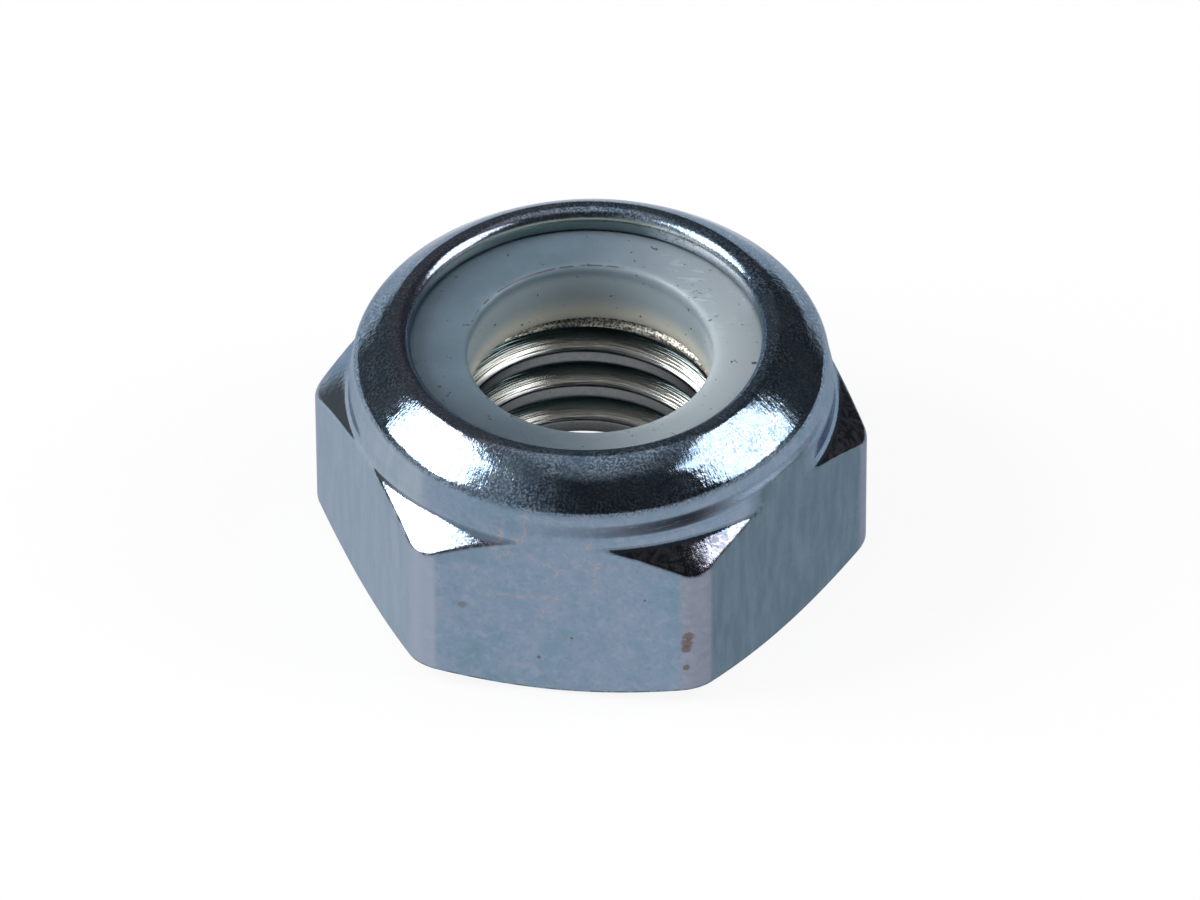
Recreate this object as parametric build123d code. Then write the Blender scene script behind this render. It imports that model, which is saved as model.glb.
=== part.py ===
from build123d import *
import math
import os

# A thin M8 hexagon nut that locks by a nylon ring: a steel body with a round collar, whose wall is
# turned in over the ring. Millimetres. The origin is at the middle of the bearing face, +Z runs
# along the thread towards the collar, and two of the flats face +Y and -Y.

# Hexagon
across_flats = 13.0
corner_rounding = 0.9
bearing_face_radius = 6.25
chamfer_angle = 30.0
corner_height = 4.46
shoulder_angle = 40.0
shoulder_fillet = 0.35

# Collar: its wall stands a little inside the flats, on a low ring left by the forging
collar_inset = 0.15
collar_wall = 0.86
collar_straight = 0.03
ring_step = 0.23
ring_land = 0.335
step_height = 0.25

# Crimp: the wall leans in by two bends and ends in a rounded lip
first_lean_angle = 45.0
first_bend_radius = 0.9
second_lean_angle = 60.5
second_bend_radius = 2.2
lean_straight = 0.22
lip_reach = 1.69
lip_rounding = 0.3
lip_depth = 1.0
lip_undercut = 0.2

# Bore: minor diameter of the thread, with a chamfer at each end
thread_minor_radius = 3.4
entry_chamfer_radius = 4.2
entry_chamfer_angle = 30.0
runout_chamfer_radius = 4.1
runout_chamfer_angle = 30.0

# Nylon ring
insert_thickness = 1.9
insert_bore_radius = 3.24
insert_entry_rounding = 0.25
insert_foot_chamfer = 0.12
insert_dish = 0.03
insert_clearance = 0.01
pocket_lean_angle = 40.0


def rise(run, angle):
    """Height that a slope gains over a horizontal run."""
    return run * math.tan(math.radians(angle))


def bend_reach(radius, turn):
    """Distance from the corner of a bend to where its arc begins."""
    return rise(radius, turn / 2)


# Radii
collar_radius = across_flats / 2 - collar_inset
ring_radius = collar_radius + ring_step
pocket_radius = collar_radius - collar_wall
lip_radius = collar_radius - lip_reach
lip_foot_radius = lip_radius + lip_undercut
corner_radius = across_flats / 2 / math.cos(math.pi / 6)
corner_reach = corner_radius - corner_rounding * (1 / math.cos(math.pi / 6) - 1)
blank_radius = corner_radius + corner_rounding

# Heights, from the corners of the hexagon up to the lip
shoulder_foot_height = corner_height + rise(corner_reach - ring_radius, shoulder_angle)
blank_shoulder_height = corner_height - rise(blank_radius - corner_reach, shoulder_angle)
ring_height = shoulder_foot_height + bend_reach(shoulder_fillet, 90 - shoulder_angle) + ring_land
step_top_height = ring_height + step_height
first_reach = bend_reach(first_bend_radius, first_lean_angle)
second_reach = bend_reach(second_bend_radius, second_lean_angle - first_lean_angle)
lean_start_height = step_top_height + collar_straight + first_reach
lean_run = (first_reach + lean_straight + second_reach) * math.sin(math.radians(first_lean_angle))
lean_top_radius = collar_radius - lean_run
lean_top_height = lean_start_height + rise(lean_run, 90 - first_lean_angle)
lip_height = lean_top_height + rise(lean_top_radius - lip_radius, 90 - second_lean_angle)

# Heights, from the lip down into the pocket
lip_foot_height = lip_height - lip_depth
pocket_top_height = lip_foot_height - rise(pocket_radius - lip_foot_radius, pocket_lean_angle)
seat_height = lip_foot_height - insert_thickness


def turned(corners):
    """Solid of revolution about Z of a closed outline.

    Each corner of the outline is (radius, height, rounding of the corner).
    """
    with BuildPart() as solid:
        with BuildSketch(Plane.XZ):
            with BuildLine():
                points = [(radius, height) for radius, height, rounding in corners]
                roundings = [rounding for radius, height, rounding in corners]
                FilletPolyline(points, radius=roundings, close=True)
            make_face()
        revolve(axis=Axis.Z)
    return solid.part


def hexagon_prism(height):
    """Hexagon bar with rounded corners, as tall as the nut."""
    with BuildPart() as prism:
        with BuildSketch():
            RegularPolygon(across_flats / 2, 6, major_radius=False)
            fillet(vertices(), corner_rounding)
        extrude(amount=height)
    return prism.part


def nut_section():
    """Half section of the nut as if turned from a round blank wider than its corners."""
    entry_depth = rise(entry_chamfer_radius - thread_minor_radius, entry_chamfer_angle)
    runout_depth = rise(runout_chamfer_radius - thread_minor_radius, runout_chamfer_angle)
    blank_chamfer_height = rise(blank_radius - bearing_face_radius, chamfer_angle)
    hexagon = [
        (entry_chamfer_radius, 0, 0),
        (bearing_face_radius, 0, 0),
        (blank_radius, blank_chamfer_height, 0),
        (blank_radius, blank_shoulder_height, 0),
        (ring_radius, shoulder_foot_height, shoulder_fillet),
    ]
    collar = [
        (ring_radius, ring_height, 0),
        (collar_radius, step_top_height, 0),
        (collar_radius, lean_start_height, first_bend_radius),
        (lean_top_radius, lean_top_height, second_bend_radius),
        (lip_radius, lip_height, lip_rounding),
        (lip_foot_radius, lip_foot_height, 0),
    ]
    bore = [
        (pocket_radius, pocket_top_height, 0),
        (pocket_radius, seat_height, 0),
        (runout_chamfer_radius, seat_height, 0),
        (thread_minor_radius, seat_height - runout_depth, 0),
        (thread_minor_radius, entry_depth, 0),
    ]
    return hexagon + collar + bore


def nut_body():
    """Steel body: the turned blank trimmed to the hexagon."""
    blank = turned(nut_section())
    return blank & hexagon_prism(lip_height)


def nylon_insert():
    """Nylon ring that fills the pocket and is held down by the turned-in wall."""
    outer_radius = pocket_radius - insert_clearance
    foot_height = seat_height + insert_clearance
    shoulder_height = pocket_top_height - insert_clearance
    rim_height = lip_foot_height - insert_clearance
    corners = [
        (insert_bore_radius + insert_foot_chamfer, foot_height, 0),
        (outer_radius, foot_height, 0),
        (outer_radius, shoulder_height, 0),
        (lip_foot_radius, rim_height, 0),
        (insert_bore_radius, rim_height - insert_dish, insert_entry_rounding),
        (insert_bore_radius, foot_height + insert_foot_chamfer, 0),
    ]
    return turned(corners)


os.makedirs("parts", exist_ok=True)
for name, shape in (("nut_body", nut_body()), ("nylon_insert", nylon_insert())):
    export_step(shape, f"parts/{name}.step")
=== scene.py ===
"""Looks of a thin M8 hexagon nut with a nylon locking ring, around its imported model.

Lengths are millimetres in the sizes below and metres in every mesh. The steel body and the nylon
ring are walked outlines: a half section whose radii and heights change with the angle round the
axis. The body's bore carries a true helical thread.
"""
import math

import bmesh
import bpy
import numpy as np
from mathutils import Matrix, Vector

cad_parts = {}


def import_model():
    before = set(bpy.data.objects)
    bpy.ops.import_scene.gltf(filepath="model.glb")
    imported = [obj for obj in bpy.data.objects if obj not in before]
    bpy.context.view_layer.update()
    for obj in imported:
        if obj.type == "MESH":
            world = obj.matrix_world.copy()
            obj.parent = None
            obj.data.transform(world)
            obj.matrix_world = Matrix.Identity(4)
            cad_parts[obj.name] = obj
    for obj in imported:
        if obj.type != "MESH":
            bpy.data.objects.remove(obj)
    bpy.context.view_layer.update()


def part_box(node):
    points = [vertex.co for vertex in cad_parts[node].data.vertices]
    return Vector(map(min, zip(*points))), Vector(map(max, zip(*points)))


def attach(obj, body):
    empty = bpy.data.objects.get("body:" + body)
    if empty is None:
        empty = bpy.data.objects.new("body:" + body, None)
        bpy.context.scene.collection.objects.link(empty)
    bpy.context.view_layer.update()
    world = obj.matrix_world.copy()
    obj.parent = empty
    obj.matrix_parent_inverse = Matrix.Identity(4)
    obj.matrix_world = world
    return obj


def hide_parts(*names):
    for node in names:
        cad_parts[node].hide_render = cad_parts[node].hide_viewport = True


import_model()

MM = 0.001
TURN = 2 * math.pi
RANDOM = np.random.default_rng(8)

# Hexagon, whose corners are cut off a little higher at the front
APOTHEM = 6.5
CORNER_ROUNDING = 0.9
CORNER_REACH = (APOTHEM - CORNER_ROUNDING) / math.cos(TURN / 12) + CORNER_ROUNDING
BEARING_FACE_RADIUS = 6.25
CHAMFER_SLOPE = math.tan(math.radians(25))
CORNER_HEIGHT = 4.10
CORNER_RISE = 0.42
CORNER_HIGH_SIDE = math.radians(-88)
CORNER_SPREAD = math.radians(55)
SHOULDER_ANGLE = math.radians(40)
SHOULDER_SLOPE = math.tan(SHOULDER_ANGLE)
SHOULDER_FILLET = 0.35

# Collar and the low ring under it, which stands out most at the front right
COLLAR_RADIUS = 6.32
COLLAR_SHIFT = 0.02
COLLAR_BULGE = 0.05
COLLAR_SWELL = 0.006
BULGE_SIDE = math.radians(-100)
BULGE_SPREAD = math.radians(40)
RING_RADIUS = 6.52
RING_FADE = 0.14
RING_SWELL = 0.006
RING_WIDE_SIDE = math.radians(-60)
RING_WIDE_SPREAD = math.radians(75)
RING_HEIGHT = 5.618
RING_SLUMP = 0.18
BURR_SIDE = math.radians(-34)
BURR_SPREAD = math.radians(44)
STEP_HEIGHT = 0.25
STEP_SWELL = 0.02

# Crimp: the wall leans in by two bends and ends in a rounded lip, set a little off the axis
FIRST_LEAN = math.radians(47.6)
FIRST_LEAN_HEIGHT = 6.168
FIRST_LEAN_LENGTH = 0.942
FIRST_BEND = 0.62
SECOND_BEND = 2.4
LIP_RADIUS = 4.460
LIP_SHIFT = -0.09
LIP_HEIGHT = 7.600
LIP_TILT = -0.017
LIP_ROUNDING = 0.38
LIP_FOOT_RADIUS = 4.667
LIP_SWELLS = ((2, 0.008, 0.7), (3, 0.006, 2.1), (5, 0.004, 4.0))
POCKET_RADIUS = 5.49
POCKET_SLOPE = math.tan(math.radians(40))

# Bore and thread
PITCH = 1.25
MINOR_RADIUS = 3.4
ROOT_RADIUS = 4.0
CREST_WIDTH = 0.42
CREST_SOFTNESS = 0.018
ROOT_SOFTNESS = 0.08
FLANK_SLOPE = 1 / math.tan(math.radians(30))
CREST_TOP_AT_BACK = 3.34
THREAD_WANDER = 0.0048
ENTRY_RADIUS = 4.2
RUNOUT_RADIUS = 4.1

# Nylon ring
INSERT_BORE = 3.24
INSERT_THICKNESS = 1.9
INSERT_CLEARANCE = 0.01
INSERT_ROUNDING = 0.16
INSERT_DISH = 0.03
INSERT_FOOT = 0.04
INSERT_SWELL = 0.012
MOULD_LINE_RADIUS = 4.1
MOULD_LINE_DEPTH = 0.02

# Mesh
COLUMNS_PER_SIDE = 72
CORNER_CROWDING = 0.6
ROWS_PER_PITCH = 20
PITCH_SAMPLES = 2001
CURVATURE_WEIGHT = 0.12
FILLET_ROWS = 8
FIRST_BEND_ROWS = 12
SECOND_BEND_ROWS = 8
LIP_ROWS = 10
INSERT_ROUNDING_ROWS = 12
EDGE_SOFTNESS = 0.055
EDGE_ROWS = (-2.4, -1.4, -0.7, 0.7, 1.4, 2.4)
WALK_STEP = 0.012
MERGE_DISTANCE = 2e-7
SLIVER = 1e-8

# Zones that the body's shader reads as attributes
SIDE_RADIUS = 6.44
SIDE_FOOT = 0.05
WALL_NEARNESS = 0.3
FAR_FROM_WALL = 9
ROUNDING_EDGE = math.radians(3.9)
ROUNDING_BLUR = math.radians(1.0)


# ---------------------------------------------------------------- outlines
#
# An outline is a list of stretches: points, rows that lead up to the first of them, and whether
# that first point is a sharp edge. Points are (radius, height) pairs, one for each column.

def hexagon_reach(angle):
    """Distance from the axis to the side wall: the apothem over the cosine on a flat, and the far
    crossing with the corner's circle on a rounding."""
    from_corner = (angle + TURN / 12) % (TURN / 6) - TURN / 12
    from_flat = TURN / 12 - np.abs(from_corner)
    centre = (APOTHEM - CORNER_ROUNDING) / math.cos(TURN / 12)
    across = centre * np.sin(from_corner)
    on_arc = centre * np.cos(from_corner) + np.sqrt(np.maximum(CORNER_ROUNDING ** 2 - across ** 2, 0))
    flat_end = math.atan((APOTHEM - CORNER_ROUNDING) * math.tan(TURN / 12) / APOTHEM)
    return np.where(from_flat > flat_end, on_arc, APOTHEM / np.cos(from_flat))


def bend(before, corner, after, radius, steps):
    """Circular arc of a given radius inside a corner: a conic with weight cos(turn / 2)."""
    ahead = corner - before
    ahead = ahead / np.linalg.norm(ahead, axis=-1, keepdims=True)
    onward = after - corner
    onward = onward / np.linalg.norm(onward, axis=-1, keepdims=True)
    cosine = np.clip((ahead * onward).sum(-1, keepdims=True), -1, 1)
    weight = np.sqrt((1 + cosine) / 2)
    reach = radius * np.sqrt((1 - cosine) / (1 + cosine))
    start, end = corner - ahead * reach, corner + onward * reach
    share = np.linspace(0, 1, steps + 1)[:, None, None]
    shares = (1 - share) ** 2, 2 * weight * share * (1 - share), share ** 2
    return (shares[0] * start + shares[1] * corner + shares[2] * end) / sum(shares)


def spot(radius, height, angle):
    """One point of the half section in every column, as pairs of radius and height."""
    return np.stack(np.broadcast_arrays(radius, height, angle)[:2], -1).astype(float)


def columns_at(length, values, wanted):
    """Values of every column at the wanted lengths along it. Each column gets a stretch of one
    common axis, so that a single interpolation serves them all."""
    stretch = np.arange(length.shape[1]) * (length.max() + 1)
    axis = (length + stretch).T.ravel()
    at = (wanted + stretch).T.ravel()
    found = [np.interp(at, axis, values[..., k].T.ravel()) for k in range(values.shape[-1])]
    return np.stack(found, -1).reshape(wanted.shape[1], wanted.shape[0], -1).transpose(1, 0, 2)


def softened(points, length):
    """Outline walked at even steps and averaged over a bell-shaped window, with its lengths."""
    count = int(length[-1].max() / WALK_STEP)
    even = np.linspace(0, 1, count + 1)[:, None] * length[-1]
    fine = columns_at(length, points, even)
    half = int(4 * EDGE_SOFTNESS / WALK_STEP)
    window = np.exp(-0.5 * (np.arange(-half, half + 1) * WALK_STEP / EDGE_SOFTNESS) ** 2)
    window /= window.sum()
    before, after = 2 * fine[:1] - fine[half:0:-1], 2 * fine[-1:] - fine[-2:-half - 2:-1]
    padded = np.concatenate([before, fine, after])
    return sum(weight * padded[k:k + len(fine)] for k, weight in enumerate(window)), even


def walked(stretches):
    """Rows of an outline with its edges softened. Each stretch says how many rows lead up to its
    first point; one row leads to each further point, and six more stand about a sharp edge."""
    parts = [np.reshape(points, (-1, *points.shape[-2:])) for points, lead, sharp in stretches]
    points = np.concatenate(parts)
    leads = [rows for part, (_, lead, sharp) in zip(parts, stretches)
             for rows in [lead] + [1] * (len(part) - 1)]
    firsts = np.cumsum([0] + [len(part) for part in parts])
    edges = [first for first, (_, lead, sharp) in zip(firsts, stretches) if sharp]
    length = np.cumsum(np.linalg.norm(np.diff(points, axis=0), axis=-1), 0)
    length = np.concatenate([np.zeros((1, points.shape[1])), length])
    rows = [length[k] + (length[k + 1] - length[k]) * share
            for k, number in enumerate(leads[1:]) for share in np.arange(number) / number]
    rows += [length[k] + offset * EDGE_SOFTNESS for k in edges for offset in EDGE_ROWS]
    rows = np.sort(np.clip(np.stack(rows + [length[-1]]), 0, length[-1]), axis=0)
    soft, even = softened(points, length)
    return columns_at(even, soft, rows)


def waves(angle, amplitude, orders):
    """Slow uneven swell round the axis: a sum of cosines with set orders and seeded phases."""
    phases = RANDOM.uniform(0, TURN, len(orders))
    return amplitude * sum(np.cos(order * angle + phase) / order for order, phase in zip(orders, phases))


def bell(angle, middle, spread):
    """Flat-topped bell round the axis: 1 at its middle angle, and 1/e at the spread from it."""
    away = (angle - middle + TURN / 2) % TURN - TURN / 2
    return np.exp(-(away / spread) ** 4)


def lip_drift(angle):
    """How far the lip's edge lies outside its mean circle: a shift of its centre, and a slow swell."""
    swells = sum(amplitude * np.cos(order * angle + phase) for order, amplitude, phase in LIP_SWELLS)
    return LIP_SHIFT * np.cos(angle) + swells


def lip_foot_height():
    """Height at which the turned-in lip ends on the nylon ring."""
    low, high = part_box("nylon_insert")
    return high.z / MM + INSERT_CLEARANCE


def shoulder(angle, ring, ring_height, collar, step_top):
    """Cone that cuts the corners off, the fillet at its head, and the low ring's edge. Radii are
    cut off at the hexagon's side wall, and heights start where the form leaves that wall."""
    reach = hexagon_reach(angle)
    corner_height = CORNER_HEIGHT + CORNER_RISE * bell(angle, CORNER_HIGH_SIDE, CORNER_SPREAD)
    turn = TURN / 4 - SHOULDER_ANGLE
    tangent_radius = ring + SHOULDER_FILLET * (1 - math.cos(turn))
    arc_top = corner_height + (CORNER_REACH - ring) * SHOULDER_SLOPE + SHOULDER_FILLET * math.tan(turn / 2)
    start_turn = np.arccos(np.clip(1 - (reach - ring) / SHOULDER_FILLET, math.cos(turn), 1))
    on_cone = corner_height + (CORNER_REACH - reach) * SHOULDER_SLOPE
    on_fillet = arc_top - SHOULDER_FILLET * np.sin(start_turn)
    on_step = ring_height + (step_top - ring_height) * (ring - reach) / (ring - collar)
    leaves = np.where(reach > tangent_radius, on_cone, np.where(reach > ring, on_fillet, on_step))

    def held_in(points):
        return np.stack([np.minimum(points[..., 0], reach), np.maximum(points[..., 1], leaves)], -1)

    turns = np.linspace(1, 0, FILLET_ROWS + 1)[:, None] * turn
    fillet = np.stack([ring + SHOULDER_FILLET * (1 - np.cos(turns)),
                       arc_top - SHOULDER_FILLET * np.sin(turns)], -1)
    wall_top = spot(np.maximum(reach, tangent_radius), leaves, angle)
    edge = spot(ring, ring_height, angle)
    return [(held_in(wall_top), 8, True), (held_in(fillet), 7, False), (held_in(edge), 2, True)]


def crimp(angle, collar, step_top):
    """Collar's wall, turned in by two bends and ended by the rounded lip over the nylon ring."""
    wall_foot = spot(collar, step_top, angle)
    wall_top = spot(collar, FIRST_LEAN_HEIGHT, angle)
    lean_height = FIRST_LEAN_HEIGHT + FIRST_LEAN_LENGTH * math.cos(FIRST_LEAN) + LIP_TILT / 2 * np.sin(angle)
    lean_top = spot(collar - FIRST_LEAN_LENGTH * math.sin(FIRST_LEAN), lean_height, angle)
    lip = spot(LIP_RADIUS + lip_drift(angle), LIP_HEIGHT + LIP_TILT * np.sin(angle), angle)
    lip_foot = spot(LIP_FOOT_RADIUS + lip_drift(angle), lip_foot_height(), angle)
    return [(wall_foot, 3, True),
            (bend(wall_foot, wall_top, lean_top, FIRST_BEND, FIRST_BEND_ROWS), 2, False),
            (bend(wall_top, lean_top, lip, SECOND_BEND, SECOND_BEND_ROWS), 2, False),
            (bend(lean_top, lip, lip_foot, LIP_ROUNDING, LIP_ROWS), 2, False),
            (lip_foot, 4, False)]


def pocket(angle):
    """Pocket behind the lip, down to the nylon ring's seat and in to the runout chamfer."""
    seat = lip_foot_height() - INSERT_THICKNESS
    top = lip_foot_height() - (POCKET_RADIUS - LIP_FOOT_RADIUS) * POCKET_SLOPE
    return [(spot(POCKET_RADIUS, top, angle), 2, False),
            (spot(POCKET_RADIUS, seat, angle), 2, False),
            (spot(RUNOUT_RADIUS, seat, angle), 2, False)]


def body_outline(angle):
    """Steel body's half section, from the entry chamfer round the outside to the runout chamfer."""
    reach = hexagon_reach(angle)
    ring = RING_RADIUS - RING_FADE * (1 - bell(angle, RING_WIDE_SIDE, RING_WIDE_SPREAD))
    ring = ring + waves(angle, RING_SWELL, (2, 3, 5, 9))
    collar = COLLAR_RADIUS + COLLAR_SHIFT * np.cos(angle) + waves(angle, COLLAR_SWELL, (2, 3, 7))
    collar = collar + COLLAR_BULGE * bell(angle, BULGE_SIDE, BULGE_SPREAD)
    ring_height = RING_HEIGHT - RING_SLUMP * (1 - bell(angle, BURR_SIDE, BURR_SPREAD))
    step_top = RING_HEIGHT + STEP_HEIGHT + waves(angle, STEP_SWELL, (1, 2, 4, 7))
    return [(spot(ENTRY_RADIUS, 0, angle), 0, False),
            (spot(BEARING_FACE_RADIUS, 0, angle), 3, True),
            (spot(reach, (reach - BEARING_FACE_RADIUS) * CHAMFER_SLOPE, angle), 4, True),
            *shoulder(angle, ring, ring_height, collar, step_top),
            *crimp(angle, collar, step_top),
            *pocket(angle)]


def ring_outline(angle):
    """Nylon ring's closed half section, from the bore's entry down the bore, out along the seat
    and up the pocket. The top is a shallow dish with a faint mould line."""
    top = lip_foot_height()
    foot = top - INSERT_THICKNESS + INSERT_CLEARANCE
    outer = POCKET_RADIUS - INSERT_CLEARANCE
    rim = spot(LIP_FOOT_RADIUS + lip_drift(angle), top - INSERT_CLEARANCE, angle)
    side_top = rim[:, 1] - (POCKET_RADIUS - rim[:, 0]) * POCKET_SLOPE
    bore = INSERT_BORE + waves(angle, INSERT_SWELL, (2, 3, 5))
    entry = spot(bore, rim[:, 1] - INSERT_DISH, angle)
    rounded = bend(rim, entry, spot(bore, foot, angle), INSERT_ROUNDING, INSERT_ROUNDING_ROWS)
    mould_line = rim[:, 1] - MOULD_LINE_DEPTH + waves(angle, INSERT_SWELL / 2, (2, 3, 5, 8))
    return [(rounded[:-1], 0, False),
            (rounded[-1], 1, True),
            (spot(bore, foot + INSERT_FOOT, angle), 16, True),
            (spot(bore + INSERT_FOOT, foot, angle), 2, False),
            (spot(outer, foot, angle), 3, False),
            (spot(outer, side_top, angle), 3, False),
            (rim, 3, False),
            (spot(MOULD_LINE_RADIUS, mould_line, angle), 8, False),
            (rounded[0], 10, False)]


def thread_radius(height):
    """Radius of the thread over the height above a crest's middle: flat crest, straight flanks and
    flat root, each joined to the next by a soft ramp."""
    beyond = np.abs((height + PITCH / 2) % PITCH - PITCH / 2) - CREST_WIDTH / 2
    rising = MINOR_RADIUS + FLANK_SLOPE * (beyond + np.hypot(beyond, CREST_SOFTNESS)) / 2
    below = ROOT_RADIUS - rising
    return ROOT_RADIUS - (below + np.hypot(below, ROOT_SOFTNESS)) / 2


def thread_rows():
    """Heights of the rows in one pitch, closer together where the profile turns."""
    height = np.linspace(0, PITCH, PITCH_SAMPLES)
    radius = thread_radius(height)
    slope = np.arctan(np.gradient(radius, height))
    walked_far = np.hypot(np.gradient(height), np.gradient(radius))
    weight = np.cumsum(walked_far + CURVATURE_WEIGHT * np.abs(np.gradient(slope)))
    weight = (weight - weight[0]) / (weight[-1] - weight[0])
    return np.interp(np.arange(ROWS_PER_PITCH) / ROWS_PER_PITCH, weight, height)


def threaded_bore(angle, bottom, top):
    """Bore with a right-handed thread: each row climbs one pitch in a turn, heights are held
    between the two ends, and the radius is the largest of the thread and the two chamfers."""
    crest_middle = CREST_TOP_AT_BACK - CREST_WIDTH / 2 - PITCH / 4
    first = math.floor((bottom - crest_middle) / PITCH) - 1
    last = math.ceil((top - crest_middle) / PITCH) + 1
    rise = (np.arange(first, last)[:, None] * PITCH + thread_rows()).ravel()[::-1, None] + 0 * angle
    height = crest_middle + rise + PITCH * angle / TURN
    wander = THREAD_WANDER * (np.sin(3 * angle + 1.1) + 0.75 * np.sin(7 * angle + 2.3 * height))
    radius = thread_radius(rise) + np.where(height > 0, wander, 0)
    height = np.clip(height, bottom, top)
    entry = ENTRY_RADIUS - (height - bottom) / CHAMFER_SLOPE
    runout = RUNOUT_RADIUS - (top - height) / CHAMFER_SLOPE
    radius = np.maximum(radius, np.maximum(entry, runout))
    radius = np.where(height <= bottom, ENTRY_RADIUS, np.where(height >= top, RUNOUT_RADIUS, radius))
    return np.stack([radius, height], -1)


# ---------------------------------------------------------------- meshes

def column_angles():
    """Angles of the columns, crowded at the six corners by a cubic, and closed by the first again."""
    share = np.arange(COLUMNS_PER_SIDE) / COLUMNS_PER_SIDE * 2 - 1
    side = TURN / 12 * (share * (1 - CORNER_CROWDING) + CORNER_CROWDING * share ** 3)
    angles = (side + np.arange(6)[:, None] * TURN / 6).ravel()
    return np.append(angles, angles[0] + TURN)


def skin(name, angle, rows, marks):
    """Mesh of a grid of (radius, height) pairs turned round the axis. Rows and columns that fall
    together are merged, so that the skin is closed, and each mark becomes a point attribute."""
    x, y = rows[..., 0] * np.cos(angle), rows[..., 0] * np.sin(angle)
    points = np.stack([x, y, rows[..., 1]], -1).reshape(-1, 3) * MM
    count, across = rows.shape[:2]
    start = (np.arange(count - 1)[:, None] * across + np.arange(across - 1)).ravel()
    faces = np.stack([start, start + 1, start + across + 1, start + across], -1)
    mesh = bpy.data.meshes.new(name)
    mesh.vertices.add(len(points))
    mesh.vertices.foreach_set("co", points.ravel())
    mesh.loops.add(faces.size)
    mesh.loops.foreach_set("vertex_index", faces.ravel())
    mesh.polygons.add(len(faces))
    mesh.polygons.foreach_set("loop_start", np.arange(len(faces)) * 4)
    mesh.update(calc_edges=True)
    for mark, values in marks.items():
        attribute = mesh.attributes.new(mark, "FLOAT", "POINT")
        values = np.broadcast_to(values, (count, across)).astype(np.float32)
        attribute.data.foreach_set("value", values.ravel())
    work = bmesh.new()
    work.from_mesh(mesh)
    bmesh.ops.remove_doubles(work, verts=work.verts, dist=MERGE_DISTANCE)
    bmesh.ops.dissolve_degenerate(work, edges=work.edges, dist=SLIVER)
    bmesh.ops.recalc_face_normals(work, faces=work.faces)
    work.to_mesh(mesh)
    work.free()
    mesh.shade_smooth()
    piece = bpy.data.objects.new(name, mesh)
    bpy.context.scene.collection.objects.link(piece)
    return piece


def body_marks(angle, rows, in_bore):
    """Zones of the steel body for its shader: the burr on the low ring, the corner roundings, the
    bore, the height above the bearing side's chamfer and the distance inside the side wall."""
    reach = hexagon_reach(angle)
    inside_wall = reach - rows[..., 0]
    from_corner = np.abs((angle + TURN / 12) % (TURN / 6) - TURN / 12)
    on_rounding = np.clip((ROUNDING_EDGE - from_corner) / ROUNDING_BLUR, 0, 1)
    outside = (rows[..., 0] > SIDE_RADIUS) & (rows[..., 1] > SIDE_FOOT) & ~in_bore
    return {
        "ring": bell(angle, BURR_SIDE, BURR_SPREAD) * ~in_bore,
        "rounding": on_rounding * outside * (inside_wall < WALL_NEARNESS),
        "threaded": in_bore,
        "above_chamfer": rows[..., 1] - (reach - BEARING_FACE_RADIUS) * CHAMFER_SLOPE,
        "wall": np.where(outside, inside_wall, FAR_FROM_WALL),
    }


def steel_body():
    """Steel body: outside, pocket and seat, then the threaded bore down to the first row."""
    angle = column_angles()
    seat = lip_foot_height() - INSERT_THICKNESS
    outside = walked(body_outline(angle))
    outside[-1] = spot(RUNOUT_RADIUS, seat, angle)
    rows = np.concatenate([outside, threaded_bore(angle, 0, seat)])
    in_bore = np.arange(len(rows))[:, None] >= len(outside)
    return skin("locknut_body", angle, rows, body_marks(angle, rows, in_bore))


def nylon_ring():
    """Nylon ring in its pocket, closed where its outline starts and ends."""
    angle = column_angles()
    stretches = ring_outline(angle)
    rows = walked(stretches)
    rows[0] = rows[-1] = stretches[-1][0]
    return skin("locking_ring", angle, rows, {})


# ---------------------------------------------------------------- shader maths

class Number:
    """Output socket of a shader tree, with arithmetic on it."""

    def __init__(self, shader, socket):
        self.shader = shader
        self.socket = socket

    def of(self, operation, *others):
        values = dict(enumerate((self, *others)))
        return self.shader.node("ShaderNodeMath", {"operation": operation}, values)

    def __add__(self, other):
        return self.of("ADD", other)

    def __radd__(self, other):
        return self.of("ADD", other)

    def __sub__(self, other):
        return self.of("SUBTRACT", other)

    def __rsub__(self, other):
        return (self * -1) + other

    def __mul__(self, other):
        return self.of("MULTIPLY", other)

    def __rmul__(self, other):
        return self.of("MULTIPLY", other)

    def __truediv__(self, other):
        return self.of("DIVIDE", other)

    def __pow__(self, other):
        return self.of("POWER", other)

    def most(self, other):
        return self.of("MAXIMUM", other)

    def size(self):
        return self.of("ABSOLUTE")

    def between(self, low, high):
        """0 below low, 1 above high and smooth between them; falling if low is above high."""
        if low > high:
            return 1 - self.between(high, low)
        return self.shader.node("ShaderNodeMapRange", {"interpolation_type": "SMOOTHSTEP"},
                                {"Value": self, "From Min": low, "From Max": high})

    def near(self, middle, half_width):
        """1 at the middle value, falling to 0 at half_width from it."""
        return (self - middle).size().between(half_width, 0)


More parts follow.
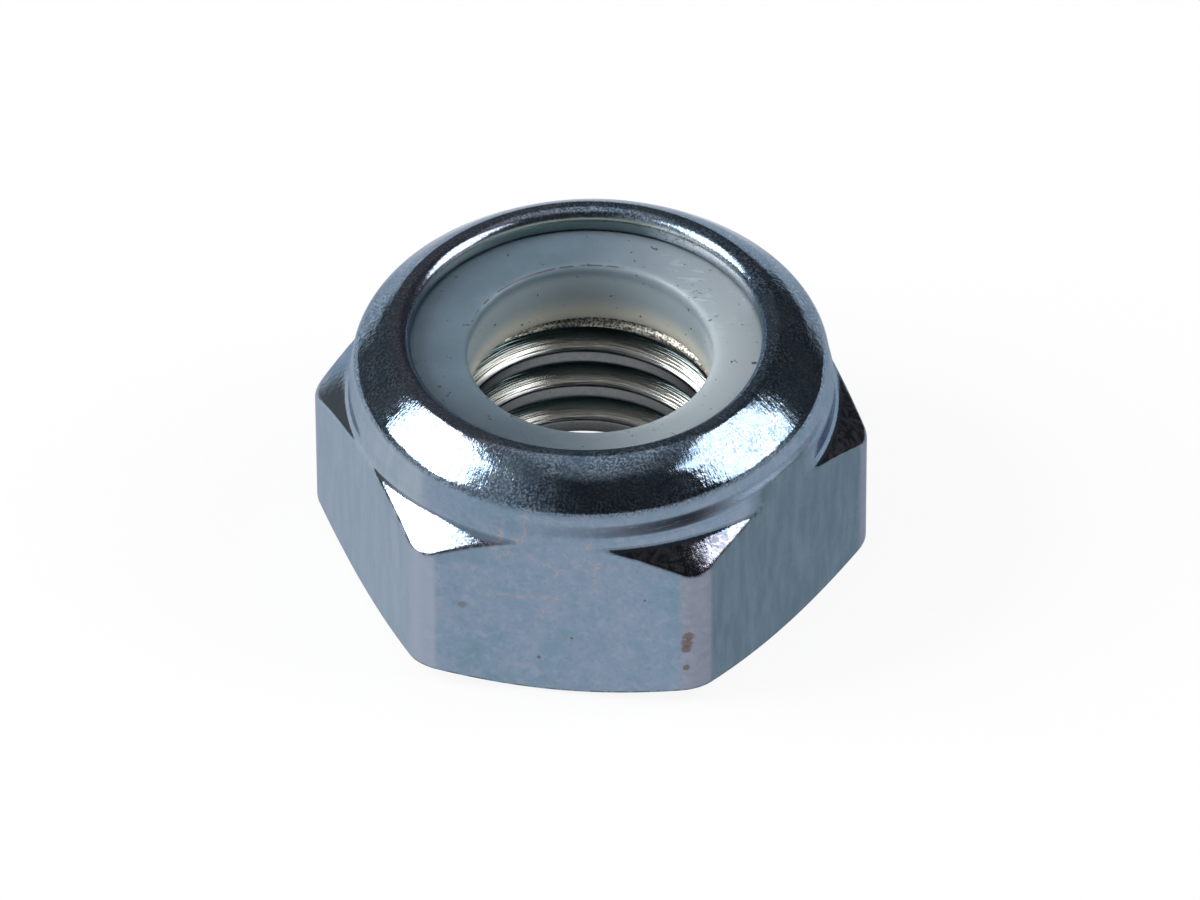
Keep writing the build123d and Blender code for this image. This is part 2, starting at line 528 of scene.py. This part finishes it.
class Shader:
    """Node tree of a material or the world, filled through one method."""

    def __init__(self, owner):
        owner.use_nodes = True
        self.tree = owner.node_tree
        self.tree.nodes.clear()

    def node(self, kind, settings=None, inputs=None, output=0):
        """Adds a node: its settings first, then the values or links of its inputs."""
        made = self.tree.nodes.new(kind)
        for key, value in (settings or {}).items():
            if key == "stops":
                self.set_stops(made.color_ramp, value)
            else:
                setattr(made, key, value)
        for key, value in (inputs or {}).items():
            if isinstance(value, Number):
                self.tree.links.new(value.socket, made.inputs[key])
            else:
                made.inputs[key].default_value = value
        return Number(self, made.outputs[output]) if len(made.outputs) else made

    def set_stops(self, ramp, stops):
        """Gives a colour ramp its stops, as pairs of place and linear colour."""
        while len(ramp.elements) > 1:
            ramp.elements.remove(ramp.elements[-1])
        for index, (place, colour) in enumerate(stops):
            element = ramp.elements[0] if index == 0 else ramp.elements.new(place)
            element.position = place
            element.color = (*colour, 1)

    def mix(self, share, first, second):
        """Colour between two colours."""
        first, second = (c if isinstance(c, Number) else (*c, 1) for c in (first, second))
        return self.node("ShaderNodeMix", {"data_type": "RGBA"}, {0: share, 6: first, 7: second}, output=2)

    def attribute(self, name):
        return self.node("ShaderNodeAttribute", {"attribute_name": name}, output=2)

    def vector(self, operation, first, second):
        """Vector Math of a vector with another, or with a number for SCALE."""
        place = "Scale" if operation == "SCALE" else 1
        return self.node("ShaderNodeVectorMath", {"operation": operation}, {0: first, place: second})

    def length(self, vector):
        return self.node("ShaderNodeVectorMath", {"operation": "LENGTH"}, {0: vector}, output=1)

    def gather(self, x, y, z):
        """Vector of three numbers."""
        return self.node("ShaderNodeCombineXYZ", {}, {0: x, 1: y, 2: z})

    def parts(self, vector):
        """The three numbers of a vector."""
        outputs = self.node("ShaderNodeSeparateXYZ", {}, {0: vector}).socket.node.outputs
        return [Number(self, output) for output in outputs]

    def own_place(self):
        """Object coordinates, in metres."""
        return self.node("ShaderNodeTexCoord", output=3)

    def noise(self, place, scale, detail=2.0, roughness=0.5, distortion=0.0, output=0):
        """Fractal noise; scale is in features per millimetre of place."""
        return self.node("ShaderNodeTexNoise", {}, {"Vector": place, "Scale": scale, "Detail": detail,
                                                    "Roughness": roughness, "Distortion": distortion}, output)


BUMP_DISTANCE = 0.02


class Surface(Shader):
    """Shader of a piece, painted in layers. Places are in millimetres."""

    def __init__(self, name):
        self.material = bpy.data.materials.new(name)
        super().__init__(self.material)
        self.place = self.vector("MULTIPLY", self.own_place(), (1 / MM,) * 3)
        self.x, self.y, self.z = self.parts(self.place)
        self.radius = (self.x * self.x + self.y * self.y) ** 0.5
        self.colour = None

    def paint(self, share, colour):
        """Lays a colour over the layers below it, by a share from 0 to 1."""
        self.colour = self.mix(share, self.colour, colour)

    def bumped(self, strength, height):
        """Normal of a surface with a fine relief."""
        return self.node("ShaderNodeBump", {}, {"Strength": strength, "Distance": BUMP_DISTANCE * MM,
                                                "Height": height})

    def finish(self, inputs):
        shader = self.node("ShaderNodeBsdfPrincipled", {}, {"Base Color": self.colour, **inputs})
        self.node("ShaderNodeOutputMaterial", {}, {"Surface": shader})
        return self.material


# ---------------------------------------------------------------- plated steel
#
# Colours are linear. A pair of colours is the darker and the lighter end of a mottle. A pair of
# numbers for between() is where a mask is 0 and where it is 1, and is a place on the nut in
# millimetres, or a level of a noise.

PLATING_STOPS = ((0.34, (0.150, 0.245, 0.300)), (0.45, (0.185, 0.265, 0.355)),
                 (0.55, (0.225, 0.285, 0.385)), (0.68, (0.285, 0.290, 0.385)))
PALE_CLOUD = (0.26, 0.34, 0.42)
BLUE_FLECK = (0.12, 0.17, 0.24)
TEAL = (0.100, 0.150, 0.190), (0.140, 0.195, 0.240)
LIT_LEFT_FLAT_BLUE = (0.30, 0.37, 0.44), (0.36, 0.42, 0.49)
LAVENDER_HIGHLIGHT = (0.34, 0.38, 0.47)
LAVENDER = (0.17, 0.19, 0.24), (0.32, 0.33, 0.41)
VEIN = (0.40, 0.31, 0.28)
SPECK = (0.12, 0.12, 0.12)
BURNISHED = (0.115, 0.180, 0.255), (0.185, 0.245, 0.310)
WARM_RUB = (0.15, 0.145, 0.14)
BRIGHT_GRAIN = (0.42, 0.52, 0.66)
DARK_GRAIN = (0.035, 0.05, 0.075)
LIP_EDGE = (0.17, 0.17, 0.22), (0.32, 0.31, 0.38)
LIP_INSIDE = (0.26, 0.32, 0.31)
LIP_GLINT = (0.85, 0.90, 0.95)
CONE_MARBLE = (0.09, 0.10, 0.13), (0.30, 0.30, 0.37)
CONE_TAIL_SHADE = (0.03, 0.035, 0.045), (0.20, 0.22, 0.27)
CREASE_SHADE = (0.05, 0.045, 0.05)
BURR = (0.020, 0.020, 0.026)
BOTTOM_BURR = (0.07, 0.06, 0.06)
THREAD_ROOT_SHADE_AND_DIRT = (0.055, 0.105, 0.112), (0.105, 0.165, 0.172)
THREAD_FLANK = (0.46, 0.46, 0.43)
THREAD_CREST = (0.13, 0.145, 0.15), (0.27, 0.28, 0.29)
RUNOUT_CHAMFER_HIGHLIGHT = (0.20, 0.19, 0.16), (0.85, 0.83, 0.74)
THREAD_DIRT = (0.05, 0.045, 0.04)
PLATING_EDGE_TINT = (0.62, 0.68, 0.76, 1)

# Stains of the front: colour, share, and the place and half width of each. Veins gather at one place
GREY_STAIN = (0.16, 0.16, 0.15), 0.7, (((-2.53, -APOTHEM, 2.91), 0.16),)
BROWN_DOTS = (0.10, 0.07, 0.05), 0.75, (((-0.52, -APOTHEM, 1.26), 0.07), ((0.36, -APOTHEM, 2.03), 0.05),
                                        ((2.3, -APOTHEM, 3.6), 0.05), ((-3.67, -6.31, 5.53), 0.08))
RUST_RUN = (0.13, 0.085, 0.07), 0.75, (((3.43, -6.45, 2.42), 0.19), ((3.40, -6.46, 2.20), 0.20),
                                       ((3.38, -6.47, 2.00), 0.17), ((3.39, -6.47, 1.32), 0.12))
VEINED_PLACE = (-0.4, -APOTHEM, 4.3)
VEINED_WIDTH = 2.2

# Zones of the steel body, as ramps of height, radius, x or the distance inside the side wall
COLLAR_HEIGHTS = 6.08, 6.26
INNER_HEIGHTS = 6.0, 6.4
INNER_RADII = 5.0, 4.8
OFF_THE_WALL = 0.01, 0.06
AT_THE_WALL = 0.2, 0.02
CONE_FOOT = 3.5, 4.4
CONE_HEAD = 5.5, 5.3
CONE_RADII = 6.60, 6.68
RIGHT_FLAT = 3.35, 3.75
LEFT_FLAT = -3.5, -3.9
LIP_EDGE_RADII = 5.45, 5.20
LIP_INSIDE_RADII = 4.80, 4.70
LIP_INSIDE_HEIGHTS = 7.02, 6.92
BURR_FOOT = 5.54, 5.60
BURR_TOP = 5.90, 5.82
BURR_RADII = 6.22, 6.30
BURR_END = 4.6, 3.2
BOTTOM_EDGE = 0.11, 0.03
RUNOUT_HEIGHTS = 4.14, 4.20
FLANK_RADII = 3.95, 3.50
CREST_RADII = 3.50, 3.44
DIRT_RADII = 3.62, 3.46


class Plating(Surface):
    """Shader of the steel body, with the masks of its zones and the noises that they share."""

    def __init__(self):
        super().__init__("zinc_plated_steel")
        self.threaded = self.attribute("threaded")
        self.wall = self.attribute("wall")
        self.worn = self.z.between(*COLLAR_HEIGHTS) * (1 - self.threaded)
        self.flats = (1 - self.worn) * (1 - self.threaded)
        cone_heights = self.z.between(*CONE_FOOT) * self.z.between(*CONE_HEAD)
        self.cone = self.wall.between(*OFF_THE_WALL) * self.flats * cone_heights
        self.runout = self.z.between(*RUNOUT_HEIGHTS) * self.threaded

        self.broad = self.noise(self.place, 0.35, 3, 0.6)
        self.cloudy = self.noise(self.place, 1.3, 4, 0.6, 0.4)
        self.mottled = self.noise(self.place, 3.4, 4, 0.65, 0.6)
        self.peel = self.noise(self.place, 7.0, 3, 0.55)
        self.fine = self.noise(self.place, 9.0, 3, 0.6)
        self.rims = self.noise(self.place, 9.0, 2)
        self.grain = self.noise(self.place, 15.0, 2, 0.6)
        self.hanging = self.noise(self.vector("MULTIPLY", self.place, (3.0, 3.0, 0.7)), 1.0, 3, 0.6)

    def noise_round(self, around, along, detail, roughness=0.6):
        """Noise on the direction from the axis, with a number of features round it, and on a length."""
        across = self.gather(self.x / self.radius * around, self.y / self.radius * around, along)
        return self.noise(across, 1.0, detail, roughness)

    def spot_at(self, place, half_width):
        """1 at a place of the surface, falling to 0 at half_width from it, with an uneven rim."""
        far = self.length(self.vector("SUBTRACT", self.place, place))
        return (far + (self.rims - 0.5) * half_width).between(half_width, half_width * 0.55)

    def paint_flats(self):
        """Mottled blue of the side walls: teal on the right, paler on the left as painted light, and lavender
        at the corners with a painted highlight on the left ones.
        """
        levels = self.broad * 0.35 + self.cloudy * 0.35 + self.mottled * 0.3
        self.colour = self.node("ShaderNodeValToRGB", {"stops": PLATING_STOPS}, {"Fac": levels})
        self.paint(self.mottled.between(0.52, 0.66) * 0.35, PALE_CLOUD)
        self.paint(self.fine.between(0.52, 0.68) * 0.22, BLUE_FLECK)
        right = self.x.between(*RIGHT_FLAT) * self.flats * self.wall.between(*AT_THE_WALL)
        self.paint(right * 0.9, self.mix(self.hanging.between(0.32, 0.74), *TEAL))
        # painted light: the left flat is painted paler, with a mottle
        left = self.x.between(*LEFT_FLAT) * self.flats * self.y.between(0.5, -0.5)
        self.paint(left * 0.8, self.mix(self.hanging.between(0.3, 0.7), *LIT_LEFT_FLAT_BLUE))
        rounding = self.attribute("rounding") * self.flats
        # painted highlight: pale lavender along the corner roundings on the left
        self.paint(rounding * 0.65 * self.x.between(2.0, -2.0), LAVENDER_HIGHLIGHT)
        self.paint(rounding * 0.75 * self.x.between(-2.0, 2.0), self.mix(self.mottled, *LAVENDER))

    def paint_stains(self):
        """Brown veins, specks and stains of the front, and dirt along the bottom edge."""
        shaken = self.noise(self.place, 1.4, 3, 0.6, output=1)
        shaken = self.vector("ADD", self.place, self.vector("SCALE", shaken, 0.9))
        cells = self.node("ShaderNodeTexVoronoi", {"feature": "DISTANCE_TO_EDGE"},
                          {"Vector": shaken, "Scale": 0.75})
        vein = (cells + (self.fine - 0.5) * 0.05).between(0.026, 0.0) * self.cloudy.between(0.42, 0.55)
        veined = self.spot_at(VEINED_PLACE, VEINED_WIDTH) * 0.85 + 0.10
        self.paint(vein * self.flats * veined * 0.6, VEIN)
        self.paint(self.fine.between(0.74, 0.80) * self.flats * 0.5, SPECK)
        for colour, share, stains in (GREY_STAIN, BROWN_DOTS, RUST_RUN):
            for place, half_width in stains:
                self.paint(self.spot_at(place, half_width) * share, colour)
        edge = self.attribute("above_chamfer").between(*BOTTOM_EDGE)
        self.paint(edge * self.mottled.between(0.44, 0.56) * self.flats * 0.8, BOTTOM_BURR)

    def paint_collar(self):
        """Burnished blue of the crimped collar, with bright and dark grain."""
        self.paint(self.worn, self.mix(self.cloudy.between(0.3, 0.7), *BURNISHED))
        self.paint(self.worn * self.peel.between(0.44, 0.60) * self.broad.between(0.45, 0.55) * 0.3, WARM_RUB)
        flecked = self.noise(self.place, 1.1, 3, 0.6).between(0.40, 0.60)
        self.paint(self.worn * self.grain.between(0.50, 0.58) * (0.30 + 0.40 * flecked), BRIGHT_GRAIN)
        self.paint(self.worn * self.grain.between(0.48, 0.38) * (0.12 + 0.40 * flecked), DARK_GRAIN)

    def paint_lip(self):
        """Lip: its edge on the left, and its inside wall with one glint at the back right."""
        edge = self.worn * self.radius.between(*LIP_EDGE_RADII) * self.x.between(0.0, -3.0)
        self.paint(edge * 0.5, self.mix(self.grain, *LIP_EDGE))
        inside = self.radius.between(*LIP_INSIDE_RADII) * self.z.between(*LIP_INSIDE_HEIGHTS)
        inside = inside * (1 - self.threaded)
        self.paint(inside, LIP_INSIDE)
        glint = inside * self.x.between(0.6, 1.6) * self.x.between(4.6, 4.0) * self.y.between(1.6, 2.4)
        self.paint(glint * self.grain.between(0.30, 0.50) * 0.85, LIP_GLINT)

    def paint_shoulder(self):
        """Cut corners: marbled on the right, with painted shade on the left one's tail and in the creases
        under both front ones. The low ring's side is burred."""
        marbled = self.noise(self.place, 2.2, 4, 0.7, 1.6).between(0.40, 0.60)
        cone = self.cone * self.radius.between(*CONE_RADII)
        self.paint(cone * self.x.between(1.0, 2.0), self.mix(marbled, *CONE_MARBLE))
        # painted shade: a dark grainy tail on the left front cone
        tail = cone * self.x.between(-3.4, -2.8) * self.x.between(-1.2, -1.7) * self.y.between(-4.0, -5.0)
        self.paint(tail * 0.8, self.mix(self.grain.between(0.42, 0.60), *CONE_TAIL_SHADE))
        # painted shade: a dark mottled line in the crease where the side wall meets the front cones
        under_cone = self.wall.near(0.04, 0.05) * self.z.between(4.35, 4.5) * self.flats
        at_front = self.x.size().between(1.6, 2.2) * self.y.between(-3.6, -4.6)
        self.paint(under_cone * at_front * self.mottled.between(0.42, 0.54) * 0.85, CREASE_SHADE)
        ring_side = self.z.between(*BURR_FOOT) * self.z.between(*BURR_TOP) * self.radius.between(*BURR_RADII)
        burred = ring_side * self.attribute("ring") * self.x.between(*BURR_END)
        streaked = self.noise_round(9, self.z * 24, 3, 0.65).between(0.85, 0.50)
        self.paint(burred * streaked * 0.97, BURR)

    def paint_thread(self):
        """Thread: dark teal roots with painted shade and dirt, bright flanks, worn crests with dirt, and a
        grainy runout chamfer with a painted highlight.
        """
        # painted shade and dirt: dark teal in the thread's roots
        root = self.mix(self.cloudy, *THREAD_ROOT_SHADE_AND_DIRT)
        self.paint(self.threaded, self.mix(self.radius.between(*FLANK_RADII), root, THREAD_FLANK))
        crest = self.radius.between(*CREST_RADII) * self.threaded
        self.paint(crest, self.mix(self.fine, *THREAD_CREST))
        # painted highlight on grainy metal: the runout chamfer is painted bright and warm
        self.paint(self.runout, self.mix(self.grain.between(0.4, 0.6), *RUNOUT_CHAMFER_HIGHLIGHT))
        dirt = self.fine.between(0.66, 0.72) * self.radius.between(*DIRT_RADII) * self.threaded
        self.paint(dirt * 0.8, THREAD_DIRT)

    def roughness(self):
        """Satin flats, nearly polished collar and cones, and a turned bore."""
        inner = self.radius.between(*INNER_RADII) * self.z.between(*INNER_HEIGHTS)
        rough = 0.33 * self.flats * (1 - self.cone) + (self.worn + self.cone) * (0.06 + 0.08 * self.cloudy)
        return rough + 0.22 * self.threaded + inner * 0.08 + self.runout * 0.2 + (self.fine - 0.5) * 0.08

    def relief(self):
        """Grain and combed strokes where the collar and cones are rubbed, and turned rings in the bore."""
        rubbed = 0.35 + 0.65 * self.noise(self.place, 0.7, 3, 0.6).between(0.40, 0.60)
        combed = self.noise_round(62, self.radius * 2.2, 3)
        turned = self.noise_round(1.5, self.radius * 15.0, 2)
        strokes = self.grain * 0.26 + self.peel * 0.45 + combed * 0.5
        strokes = strokes * (self.worn * rubbed + self.cone * 0.5)
        return (strokes + self.fine * self.flats * 0.22 + turned * self.threaded * 2.0
                + self.grain * self.runout * 2.0)


def zinc_plated_steel():
    """Blue passivated zinc: satin on the flats, burnished and grained on the crimped collar,
    bright and turned in the thread."""
    plating = Plating()
    plating.paint_flats()
    plating.paint_stains()
    plating.paint_collar()
    plating.paint_lip()
    plating.paint_shoulder()
    plating.paint_thread()
    return plating.finish({
        "Metallic": 1.0, "Roughness": plating.roughness(), "Specular Tint": PLATING_EDGE_TINT,
        "Normal": plating.bumped(0.5, plating.relief())})


# ---------------------------------------------------------------- nylon

MILKY = (0.112, 0.160, 0.202), (0.130, 0.184, 0.232)
SHADED_NYLON = (0.06, 0.08, 0.095)
LIT_NYLON = (0.41, 0.455, 0.49)
NYLON_BORE_LIGHT = (0.33, 0.40, 0.44), (0.70, 0.69, 0.58)
NYLON_SPECK = (0.03, 0.03, 0.025)
BROWN_LINE = (0.03, 0.02, 0.012)
NYLON_SCUFF = (0.50, 0.56, 0.62)


def milky_nylon():
    """Natural nylon: milky and a little translucent, with painted light in its bore that grows lighter and
    warmer further down, specks, a brown line round the bore's entry at the back left, and scuffs at the back
    right."""
    s = Surface("milky_nylon")
    cloudy = s.noise(s.place, 0.8, 4, 0.6)
    fine = s.noise(s.place, 14.0, 2)
    bore = s.radius.between(3.42, 3.38) * s.z.between(6.34, 5.95)
    s.colour = s.mix(cloudy.between(0.35, 0.65), *MILKY)
    s.paint(s.y.between(-1.0, -4.0) * 0.55, SHADED_NYLON)
    s.paint(s.x.between(-1.5, 4.8) * 0.85 * (1 - bore), LIT_NYLON)
    # painted light: the bore is painted lighter, and lighter and warmer towards its foot
    s.paint(bore, s.mix(s.z.between(5.5, 4.7), *NYLON_BORE_LIGHT))
    s.paint(s.noise(s.place, 5.0, 2).between(0.68, 0.73) * 0.8, NYLON_SPECK)
    line = s.radius.near(3.33, 0.032) * s.z.between(6.2, 6.3) * s.noise(s.place, 2.6, 1).between(0.40, 0.47)
    s.paint(line * s.x.between(0.6, 0.2) * s.y.between(0.5, 1.6) * 0.9, BROWN_LINE)
    scuffed = s.noise(s.vector("MULTIPLY", s.place, (2.0, 5.0, 5.0)), 1.0, 3, 0.6).between(0.56, 0.66)
    scuffed = scuffed * s.x.between(1.0, 2.4) * s.y.between(0.5, 1.8) * s.z.between(6.1, 6.3)
    s.paint(scuffed * 0.35, NYLON_SCUFF)
    return s.finish({
        "Roughness": 0.40 + (fine - 0.5) * 0.1, "Normal": s.bumped(0.3, fine),
        "Subsurface Weight": 1.0, "Subsurface Radius": (1.0, 1.0, 0.9), "Subsurface Scale": 1.6 * MM,
        "Coat Weight": 0.06, "Coat Roughness": 0.2, "IOR": 1.53})


def dress(piece, material, node):
    """Gives a piece its material and body, and hides its CAD node."""
    piece.data.materials.append(material)
    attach(piece, "root")
    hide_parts(node)


# ---------------------------------------------------------------- stage

CAMERA_TILT = math.radians(42.0)
CAMERA_SWING = math.radians(7.76)
CAMERA_ROLL = math.radians(-0.31)
CAMERA_DISTANCE = 390.0
CAMERA_LENS = 441.66
CAMERA_SENSOR = 36
AIM_HEIGHT = 3.9
AIM_SHIFT = (0.251, -0.789)

# Lamps: azimuth, elevation, width and height in metres, and radiance
LEFT_SOFTBOX = math.radians(-170), math.radians(38), 0.25, 0.24, 9.0
RIGHT_SOFTBOX = math.radians(5), math.radians(41), 0.25, 0.26, 5.0
LAMP_DISTANCE = 0.4

# Studio walls: a dome in metres, and its levels of light
DOME_RADIUS = 0.6
DOME_LIGHT = 0.36
LOW_FRONT_LIGHT = 0.35
CURTAIN_SHADE = 0.30
CURTAIN_SPILL = 0.5
TOP_LIGHT = 0.25
BACK_SHADE = 0.20
BACK_SIDE_SHADE = 0.08

# Floor: rings of its disc in millimetres, and what the camera, the metal and the bore see of it
FLOOR_RADII = (0, 20, 60, 200, DOME_RADIUS / MM)
FLOOR_SINK = -0.002
FLOOR_ALBEDO = 0.8
FLOOR_TO_CAMERA = 0.9
FLOOR_TO_METAL = 0.9
FLOOR_FADE_BEHIND = 0.6
FLOOR_TO_BORE = 0.63


def camera():
    """Long lens, looking down at the nut from a little right of its front flat."""
    back = Vector((math.sin(CAMERA_SWING) * math.cos(CAMERA_TILT),
                   -math.cos(CAMERA_SWING) * math.cos(CAMERA_TILT), math.sin(CAMERA_TILT)))
    right = Vector((math.cos(CAMERA_SWING), math.sin(CAMERA_SWING), 0))
    up = back.cross(right)
    across = right * math.cos(CAMERA_ROLL) + up * math.sin(CAMERA_ROLL)
    upward = up * math.cos(CAMERA_ROLL) - right * math.sin(CAMERA_ROLL)
    place = Vector((0, 0, AIM_HEIGHT)) + back * CAMERA_DISTANCE
    place = place + across * AIM_SHIFT[0] + upward * AIM_SHIFT[1]
    data = bpy.data.cameras.new("camera")
    data.lens = CAMERA_LENS
    data.sensor_width = CAMERA_SENSOR
    seat = bpy.data.objects.new("camera", data)
    seat.matrix_world = Matrix.Translation(place * MM) @ Matrix((across, upward, back)).transposed().to_4x4()
    bpy.context.scene.collection.objects.link(seat)
    bpy.context.scene.camera = seat


def softbox(name, azimuth, elevation, width, height, radiance):
    """Square lamp at a distance, facing the nut. Its power is radiance times area times pi."""
    level = math.cos(elevation)
    direction = Vector((math.cos(azimuth) * level, math.sin(azimuth) * level, math.sin(elevation)))
    data = bpy.data.lights.new(name, "AREA")
    data.shape = "RECTANGLE"
    data.size, data.size_y = width, height
    data.energy = radiance * width * height * math.pi
    lamp = bpy.data.objects.new(name, data)
    lamp.matrix_world = (Matrix.Translation(direction * LAMP_DISTANCE)
                         @ direction.to_track_quat("Z", "Y").to_matrix().to_4x4())
    bpy.context.scene.collection.objects.link(lamp)


def studio_walls():
    """Dim dome round the set: a sphere's upper half as a grid of azimuth and elevation. A dark
    curtain in front gives the collar its dark band, and the back is shaded."""
    azimuth = np.linspace(0, TURN, 49)
    elevation = np.linspace(0, TURN / 4, 13)[:, None]
    rows = np.stack(np.broadcast_arrays(DOME_RADIUS / MM * np.cos(elevation) + 0 * azimuth,
                                        DOME_RADIUS / MM * np.sin(elevation)), -1)
    walls = skin("studio_walls", azimuth, rows, {})
    walls.visible_camera = False
    walls.visible_shadow = False
    material = bpy.data.materials.new("studio_walls")
    s = Shader(material)
    x, y, z = (part / DOME_RADIUS for part in s.parts(s.own_place()))
    front = x * math.sin(CAMERA_SWING) - y * math.cos(CAMERA_SWING)
    side = x * math.cos(CAMERA_SWING) + y * math.sin(CAMERA_SWING)
    low_front = z.between(0.40, 0.20) * front.between(-0.3, 0.2)
    curtain = front.between(0.0, 0.3) * z.between(0.24, 0.40) * z.between(0.97, 0.86)
    spill = curtain * side.between(-0.10, -0.60)
    behind = front.between(0.0, -0.3) * z.between(0.97, 0.86)
    level = (DOME_LIGHT + low_front * LOW_FRONT_LIGHT - curtain * CURTAIN_SHADE + spill * CURTAIN_SPILL
             + z.between(0.90, 0.97) * TOP_LIGHT
             - behind * (BACK_SHADE + BACK_SIDE_SHADE * side.between(0.0, 0.5)))
    emission = s.node("ShaderNodeEmission", {}, {"Color": (1, 1, 1, 1), "Strength": level})
    s.node("ShaderNodeOutputMaterial", {}, {"Surface": emission})
    walls.data.materials.append(material)


def pale_floor():
    """White disc that the nut stands on: white to the camera and in the metal, with its shadow."""
    angle = np.linspace(0, TURN, 97)
    rows = np.stack(np.broadcast_arrays(np.array(FLOOR_RADII)[:, None] + 0 * angle, FLOOR_SINK), -1)
    floor = skin("floor", angle, rows, {})
    material = bpy.data.materials.new("pale_floor")
    s = Shader(material)
    path = s.node("ShaderNodeLightPath").socket.node.outputs
    camera_sees = Number(s, path["Is Camera Ray"])
    metal_sees = Number(s, path["Is Glossy Ray"]).most(Number(s, path["Is Transmission Ray"]))
    plain = s.node("ShaderNodeBsdfDiffuse", {}, {"Color": (FLOOR_ALBEDO,) * 3 + (1,)})
    white = s.node("ShaderNodeEmission", {}, {"Strength": 1.0})
    away = s.length(s.own_place()) / MM
    behind = (s.parts(s.own_place())[1] / MM).between(2.0, 8.0)
    lit = away.between(5.0, 6.2) * (FLOOR_TO_METAL - FLOOR_FADE_BEHIND * behind)
    lit = lit + away.between(3.8, 1.0) * FLOOR_TO_BORE
    share = (metal_sees * lit).most(camera_sees * FLOOR_TO_CAMERA)
    mixed = s.node("ShaderNodeMixShader", {}, {0: share, 1: plain, 2: white})
    s.node("ShaderNodeOutputMaterial", {}, {"Surface": mixed})
    floor.data.materials.append(material)


def world():
    """White surroundings."""
    made = bpy.data.worlds.new("world")
    bpy.context.scene.world = made
    s = Shader(made)
    light = s.node("ShaderNodeBackground", {}, {"Color": (1, 1, 1, 1), "Strength": 1.0})
    s.node("ShaderNodeOutputWorld", {}, {"Surface": light})


camera()
world()
pale_floor()
studio_walls()
softbox("left_softbox", *LEFT_SOFTBOX)
softbox("right_softbox", *RIGHT_SOFTBOX)
dress(steel_body(), zinc_plated_steel(), "nut_body")
dress(nylon_ring(), milky_nylon(), "nylon_insert")

view_settings = bpy.context.scene.view_settings
view_settings.view_transform = "Standard"
